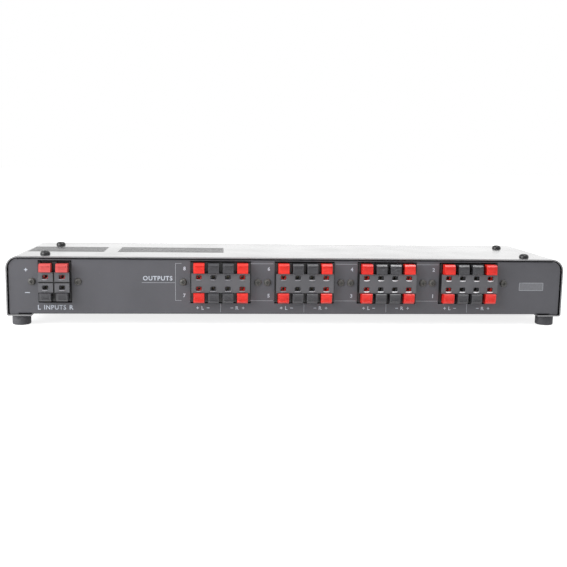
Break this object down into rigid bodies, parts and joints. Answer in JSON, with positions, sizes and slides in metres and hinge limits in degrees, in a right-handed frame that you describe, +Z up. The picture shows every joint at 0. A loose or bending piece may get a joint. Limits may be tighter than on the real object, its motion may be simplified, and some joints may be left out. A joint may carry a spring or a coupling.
{
  "type": "speaker selector switch",
  "caption": "Low black steel box with spring-lever speaker wire terminals along its rear panel and push buttons on its fascia.",
  "frame": {"origin": "on the feet's bottom plane, at the middle of the bounding box", "axes": "+Z up; +Y out of the rear panel with the wire terminals; +X to the right seen from the fascia, so the input block is at +X"},
  "size_m": [0.43, 0.114, 0.056],
  "materials": {
    "black_paint": "semi-gloss black paint",
    "grey_paint": "satin dark grey paint",
    "fascia_paint": "satin black paint",
    "foot_rubber": "matte rubber",
    "zinc_screw": "zinc plated steel",
    "black_screw": "black oxide steel",
    "terminal_moulding": "matte moulded plastic",
    "red_lever": "moulded red plastic",
    "black_lever": "moulded black plastic",
    "button_plastic": "satin moulded plastic",
    "switch_plastic": "moulded plastic",
    "contact_brass": "tinned brass",
    "standoff_brass": "turned brass",
    "board_laminate": "green solder mask",
    "resistor_ceramic": "white ceramic"
  },
  "bodies": {
    "case": {"top_cover": "black_paint", "chassis": "grey_paint", "feet": "foot_rubber", "foot_screws": "zinc_screw", "cover_screws": "black_screw", "terminal_screws": "black_screw", "input_terminal_body": "terminal_moulding", "output_terminal_bodies": "terminal_moulding", "contact_springs": "contact_brass", "front_panel": "fascia_paint", "switch_bodies": "switch_plastic", "main_board": "board_laminate", "board_standoffs": "standoff_brass", "power_resistors": "resistor_ceramic"},
    "lever_input_left_plus": {"lever_input_left_plus": "red_lever"},
    "lever_input_left_minus": {"lever_input_left_minus": "black_lever"},
    "lever_input_right_plus": {"lever_input_right_plus": "red_lever"},
    "lever_input_right_minus": {"lever_input_right_minus": "black_lever"},
    "lever_zone8_left_plus": {"lever_zone8_left_plus": "red_lever"},
    "lever_zone7_left_plus": {"lever_zone7_left_plus": "red_lever"},
    "lever_zone8_left_minus": {"lever_zone8_left_minus": "black_lever"},
    "lever_zone7_left_minus": {"lever_zone7_left_minus": "black_lever"},
    "lever_zone8_right_minus": {"lever_zone8_right_minus": "black_lever"},
    "lever_zone7_right_minus": {"lever_zone7_right_minus": "black_lever"},
    "lever_zone8_right_plus": {"lever_zone8_right_plus": "red_lever"},
    "lever_zone7_right_plus": {"lever_zone7_right_plus": "red_lever"},
    "lever_zone6_left_plus": {"lever_zone6_left_plus": "red_lever"},
    "lever_zone5_left_plus": {"lever_zone5_left_plus": "red_lever"},
    "lever_zone6_left_minus": {"lever_zone6_left_minus": "black_lever"},
    "lever_zone5_left_minus": {"lever_zone5_left_minus": "black_lever"},
    "lever_zone6_right_minus": {"lever_zone6_right_minus": "black_lever"},
    "lever_zone5_right_minus": {"lever_zone5_right_minus": "black_lever"},
    "lever_zone6_right_plus": {"lever_zone6_right_plus": "red_lever"},
    "lever_zone5_right_plus": {"lever_zone5_right_plus": "red_lever"},
    "lever_zone4_left_plus": {"lever_zone4_left_plus": "red_lever"},
    "lever_zone3_left_plus": {"lever_zone3_left_plus": "red_lever"},
    "lever_zone4_left_minus": {"lever_zone4_left_minus": "black_lever"},
    "lever_zone3_left_minus": {"lever_zone3_left_minus": "black_lever"},
    "lever_zone4_right_minus": {"lever_zone4_right_minus": "black_lever"},
    "lever_zone3_right_minus": {"lever_zone3_right_minus": "black_lever"},
    "lever_zone4_right_plus": {"lever_zone4_right_plus": "red_lever"},
    "lever_zone3_right_plus": {"lever_zone3_right_plus": "red_lever"},
    "lever_zone2_left_plus": {"lever_zone2_left_plus": "red_lever"},
    "lever_zone1_left_plus": {"lever_zone1_left_plus": "red_lever"},
    "lever_zone2_left_minus": {"lever_zone2_left_minus": "black_lever"},
    "lever_zone1_left_minus": {"lever_zone1_left_minus": "black_lever"},
    "lever_zone2_right_minus": {"lever_zone2_right_minus": "black_lever"},
    "lever_zone1_right_minus": {"lever_zone1_right_minus": "black_lever"},
    "lever_zone2_right_plus": {"lever_zone2_right_plus": "red_lever"},
    "lever_zone1_right_plus": {"lever_zone1_right_plus": "red_lever"},
    "button_zone1": {"button_zone1": "button_plastic"},
    "button_zone2": {"button_zone2": "button_plastic"},
    "button_zone3": {"button_zone3": "button_plastic"},
    "button_zone4": {"button_zone4": "button_plastic"},
    "button_zone5": {"button_zone5": "button_plastic"},
    "button_zone6": {"button_zone6": "button_plastic"},
    "button_zone7": {"button_zone7": "button_plastic"},
    "button_zone8": {"button_zone8": "button_plastic"},
    "button_protection": {"button_protection": "button_plastic"}
  },
  "joints": [
    {"name": "lever_input_left_plus_pivot", "type": "hinge", "parent": "case", "child": "lever_input_left_plus", "pos_m": [0.18505, 0.0506, 0.0357], "axis": [1, 0, 0], "range_deg": [0, 12], "stiffness_Nm_per_rad": 0.1, "springref_deg": -14.32},
    {"name": "lever_input_left_minus_pivot", "type": "hinge", "parent": "case", "child": "lever_input_left_minus", "pos_m": [0.18505, 0.0506, 0.0329], "axis": [-1, 0, 0], "range_deg": [0, 12], "stiffness_Nm_per_rad": 0.1, "springref_deg": -14.32},
    {"name": "lever_input_right_plus_pivot", "type": "hinge", "parent": "case", "child": "lever_input_right_plus", "pos_m": [0.17265, 0.0506, 0.0357], "axis": [1, 0, 0], "range_deg": [0, 12], "stiffness_Nm_per_rad": 0.1, "springref_deg": -14.32},
    {"name": "lever_input_right_minus_pivot", "type": "hinge", "parent": "case", "child": "lever_input_right_minus", "pos_m": [0.17265, 0.0506, 0.0329], "axis": [-1, 0, 0], "range_deg": [0, 12], "stiffness_Nm_per_rad": 0.1, "springref_deg": -14.32},
    {"name": "lever_zone8_left_plus_pivot", "type": "hinge", "parent": "case", "child": "lever_zone8_left_plus", "pos_m": [0.0708, 0.0506, 0.0357], "axis": [1, 0, 0], "range_deg": [0, 12], "stiffness_Nm_per_rad": 0.1, "springref_deg": -14.32},
    {"name": "lever_zone7_left_plus_pivot", "type": "hinge", "parent": "case", "child": "lever_zone7_left_plus", "pos_m": [0.0708, 0.0506, 0.0329], "axis": [-1, 0, 0], "range_deg": [0, 12], "stiffness_Nm_per_rad": 0.1, "springref_deg": -14.32},
    {"name": "lever_zone8_left_minus_pivot", "type": "hinge", "parent": "case", "child": "lever_zone8_left_minus", "pos_m": [0.0598, 0.0506, 0.0357], "axis": [1, 0, 0], "range_deg": [0, 12], "stiffness_Nm_per_rad": 0.1, "springref_deg": -14.32},
    {"name": "lever_zone7_left_minus_pivot", "type": "hinge", "parent": "case", "child": "lever_zone7_left_minus", "pos_m": [0.0598, 0.0506, 0.0329], "axis": [-1, 0, 0], "range_deg": [0, 12], "stiffness_Nm_per_rad": 0.1, "springref_deg": -14.32},
    {"name": "lever_zone8_right_minus_pivot", "type": "hinge", "parent": "case", "child": "lever_zone8_right_minus", "pos_m": [0.0488, 0.0506, 0.0357], "axis": [1, 0, 0], "range_deg": [0, 12], "stiffness_Nm_per_rad": 0.1, "springref_deg": -14.32},
    {"name": "lever_zone7_right_minus_pivot", "type": "hinge", "parent": "case", "child": "lever_zone7_right_minus", "pos_m": [0.0488, 0.0506, 0.0329], "axis": [-1, 0, 0], "range_deg": [0, 12], "stiffness_Nm_per_rad": 0.1, "springref_deg": -14.32},
    {"name": "lever_zone8_right_plus_pivot", "type": "hinge", "parent": "case", "child": "lever_zone8_right_plus", "pos_m": [0.0378, 0.0506, 0.0357], "axis": [1, 0, 0], "range_deg": [0, 12], "stiffness_Nm_per_rad": 0.1, "springref_deg": -14.32},
    {"name": "lever_zone7_right_plus_pivot", "type": "hinge", "parent": "case", "child": "lever_zone7_right_plus", "pos_m": [0.0378, 0.0506, 0.0329], "axis": [-1, 0, 0], "range_deg": [0, 12], "stiffness_Nm_per_rad": 0.1, "springref_deg": -14.32},
    {"name": "lever_zone6_left_plus_pivot", "type": "hinge", "parent": "case", "child": "lever_zone6_left_plus", "pos_m": [0.0064, 0.0506, 0.0357], "axis": [1, 0, 0], "range_deg": [0, 12], "stiffness_Nm_per_rad": 0.1, "springref_deg": -14.32},
    {"name": "lever_zone5_left_plus_pivot", "type": "hinge", "parent": "case", "child": "lever_zone5_left_plus", "pos_m": [0.0064, 0.0506, 0.0329], "axis": [-1, 0, 0], "range_deg": [0, 12], "stiffness_Nm_per_rad": 0.1, "springref_deg": -14.32},
    {"name": "lever_zone6_left_minus_pivot", "type": "hinge", "parent": "case", "child": "lever_zone6_left_minus", "pos_m": [-0.0046, 0.0506, 0.0357], "axis": [1, 0, 0], "range_deg": [0, 12], "stiffness_Nm_per_rad": 0.1, "springref_deg": -14.32},
    {"name": "lever_zone5_left_minus_pivot", "type": "hinge", "parent": "case", "child": "lever_zone5_left_minus", "pos_m": [-0.0046, 0.0506, 0.0329], "axis": [-1, 0, 0], "range_deg": [0, 12], "stiffness_Nm_per_rad": 0.1, "springref_deg": -14.32},
    {"name": "lever_zone6_right_minus_pivot", "type": "hinge", "parent": "case", "child": "lever_zone6_right_minus", "pos_m": [-0.0156, 0.0506, 0.0357], "axis": [1, 0, 0], "range_deg": [0, 12], "stiffness_Nm_per_rad": 0.1, "springref_deg": -14.32},
    {"name": "lever_zone5_right_minus_pivot", "type": "hinge", "parent": "case", "child": "lever_zone5_right_minus", "pos_m": [-0.0156, 0.0506, 0.0329], "axis": [-1, 0, 0], "range_deg": [0, 12], "stiffness_Nm_per_rad": 0.1, "springref_deg": -14.32},
    {"name": "lever_zone6_right_plus_pivot", "type": "hinge", "parent": "case", "child": "lever_zone6_right_plus", "pos_m": [-0.0266, 0.0506, 0.0357], "axis": [1, 0, 0], "range_deg": [0, 12], "stiffness_Nm_per_rad": 0.1, "springref_deg": -14.32},
    {"name": "lever_zone5_right_plus_pivot", "type": "hinge", "parent": "case", "child": "lever_zone5_right_plus", "pos_m": [-0.0266, 0.0506, 0.0329], "axis": [-1, 0, 0], "range_deg": [0, 12], "stiffness_Nm_per_rad": 0.1, "springref_deg": -14.32},
    {"name": "lever_zone4_left_plus_pivot", "type": "hinge", "parent": "case", "child": "lever_zone4_left_plus", "pos_m": [-0.058, 0.0506, 0.0357], "axis": [1, 0, 0], "range_deg": [0, 12], "stiffness_Nm_per_rad": 0.1, "springref_deg": -14.32},
    {"name": "lever_zone3_left_plus_pivot", "type": "hinge", "parent": "case", "child": "lever_zone3_left_plus", "pos_m": [-0.058, 0.0506, 0.0329], "axis": [-1, 0, 0], "range_deg": [0, 12], "stiffness_Nm_per_rad": 0.1, "springref_deg": -14.32},
    {"name": "lever_zone4_left_minus_pivot", "type": "hinge", "parent": "case", "child": "lever_zone4_left_minus", "pos_m": [-0.069, 0.0506, 0.0357], "axis": [1, 0, 0], "range_deg": [0, 12], "stiffness_Nm_per_rad": 0.1, "springref_deg": -14.32},
    {"name": "lever_zone3_left_minus_pivot", "type": "hinge", "parent": "case", "child": "lever_zone3_left_minus", "pos_m": [-0.069, 0.0506, 0.0329], "axis": [-1, 0, 0], "range_deg": [0, 12], "stiffness_Nm_per_rad": 0.1, "springref_deg": -14.32},
    {"name": "lever_zone4_right_minus_pivot", "type": "hinge", "parent": "case", "child": "lever_zone4_right_minus", "pos_m": [-0.08, 0.0506, 0.0357], "axis": [1, 0, 0], "range_deg": [0, 12], "stiffness_Nm_per_rad": 0.1, "springref_deg": -14.32},
    {"name": "lever_zone3_right_minus_pivot", "type": "hinge", "parent": "case", "child": "lever_zone3_right_minus", "pos_m": [-0.08, 0.0506, 0.0329], "axis": [-1, 0, 0], "range_deg": [0, 12], "stiffness_Nm_per_rad": 0.1, "springref_deg": -14.32},
    {"name": "lever_zone4_right_plus_pivot", "type": "hinge", "parent": "case", "child": "lever_zone4_right_plus", "pos_m": [-0.091, 0.0506, 0.0357], "axis": [1, 0, 0], "range_deg": [0, 12], "stiffness_Nm_per_rad": 0.1, "springref_deg": -14.32},
    {"name": "lever_zone3_right_plus_pivot", "type": "hinge", "parent": "case", "child": "lever_zone3_right_plus", "pos_m": [-0.091, 0.0506, 0.0329], "axis": [-1, 0, 0], "range_deg": [0, 12], "stiffness_Nm_per_rad": 0.1, "springref_deg": -14.32},
    {"name": "lever_zone2_left_plus_pivot", "type": "hinge", "parent": "case", "child": "lever_zone2_left_plus", "pos_m": [-0.1224, 0.0506, 0.0357], "axis": [1, 0, 0], "range_deg": [0, 12], "stiffness_Nm_per_rad": 0.1, "springref_deg": -14.32},
    {"name": "lever_zone1_left_plus_pivot", "type": "hinge", "parent": "case", "child": "lever_zone1_left_plus", "pos_m": [-0.1224, 0.0506, 0.0329], "axis": [-1, 0, 0], "range_deg": [0, 12], "stiffness_Nm_per_rad": 0.1, "springref_deg": -14.32},
    {"name": "lever_zone2_left_minus_pivot", "type": "hinge", "parent": "case", "child": "lever_zone2_left_minus", "pos_m": [-0.1334, 0.0506, 0.0357], "axis": [1, 0, 0], "range_deg": [0, 12], "stiffness_Nm_per_rad": 0.1, "springref_deg": -14.32},
    {"name": "lever_zone1_left_minus_pivot", "type": "hinge", "parent": "case", "child": "lever_zone1_left_minus", "pos_m": [-0.1334, 0.0506, 0.0329], "axis": [-1, 0, 0], "range_deg": [0, 12], "stiffness_Nm_per_rad": 0.1, "springref_deg": -14.32},
    {"name": "lever_zone2_right_minus_pivot", "type": "hinge", "parent": "case", "child": "lever_zone2_right_minus", "pos_m": [-0.1444, 0.0506, 0.0357], "axis": [1, 0, 0], "range_deg": [0, 12], "stiffness_Nm_per_rad": 0.1, "springref_deg": -14.32},
    {"name": "lever_zone1_right_minus_pivot", "type": "hinge", "parent": "case", "child": "lever_zone1_right_minus", "pos_m": [-0.1444, 0.0506, 0.0329], "axis": [-1, 0, 0], "range_deg": [0, 12], "stiffness_Nm_per_rad": 0.1, "springref_deg": -14.32},
    {"name": "lever_zone2_right_plus_pivot", "type": "hinge", "parent": "case", "child": "lever_zone2_right_plus", "pos_m": [-0.1554, 0.0506, 0.0357], "axis": [1, 0, 0], "range_deg": [0, 12], "stiffness_Nm_per_rad": 0.1, "springref_deg": -14.32},
    {"name": "lever_zone1_right_plus_pivot", "type": "hinge", "parent": "case", "child": "lever_zone1_right_plus", "pos_m": [-0.1554, 0.0506, 0.0329], "axis": [-1, 0, 0], "range_deg": [0, 12], "stiffness_Nm_per_rad": 0.1, "springref_deg": -14.32},
    {"name": "button_zone1_slide", "type": "slide", "parent": "case", "child": "button_zone1", "axis": [0, 1, 0], "range_m": [0, 0.003], "stiffness_N_per_m": 300, "springref_m": -0.004},
    {"name": "button_zone2_slide", "type": "slide", "parent": "case", "child": "button_zone2", "axis": [0, 1, 0], "range_m": [0, 0.003], "stiffness_N_per_m": 300, "springref_m": -0.004},
    {"name": "button_zone3_slide", "type": "slide", "parent": "case", "child": "button_zone3", "axis": [0, 1, 0], "range_m": [0, 0.003], "stiffness_N_per_m": 300, "springref_m": -0.004},
    {"name": "button_zone4_slide", "type": "slide", "parent": "case", "child": "button_zone4", "axis": [0, 1, 0], "range_m": [0, 0.003], "stiffness_N_per_m": 300, "springref_m": -0.004},
    {"name": "button_zone5_slide", "type": "slide", "parent": "case", "child": "button_zone5", "axis": [0, 1, 0], "range_m": [0, 0.003], "stiffness_N_per_m": 300, "springref_m": -0.004},
    {"name": "button_zone6_slide", "type": "slide", "parent": "case", "child": "button_zone6", "axis": [0, 1, 0], "range_m": [0, 0.003], "stiffness_N_per_m": 300, "springref_m": -0.004},
    {"name": "button_zone7_slide", "type": "slide", "parent": "case", "child": "button_zone7", "axis": [0, 1, 0], "range_m": [0, 0.003], "stiffness_N_per_m": 300, "springref_m": -0.004},
    {"name": "button_zone8_slide", "type": "slide", "parent": "case", "child": "button_zone8", "axis": [0, 1, 0], "range_m": [0, 0.003], "stiffness_N_per_m": 300, "springref_m": -0.004},
    {"name": "button_protection_slide", "type": "slide", "parent": "case", "child": "button_protection", "axis": [0, 1, 0], "range_m": [0, 0.003], "stiffness_N_per_m": 300, "springref_m": -0.004}
  ]
}
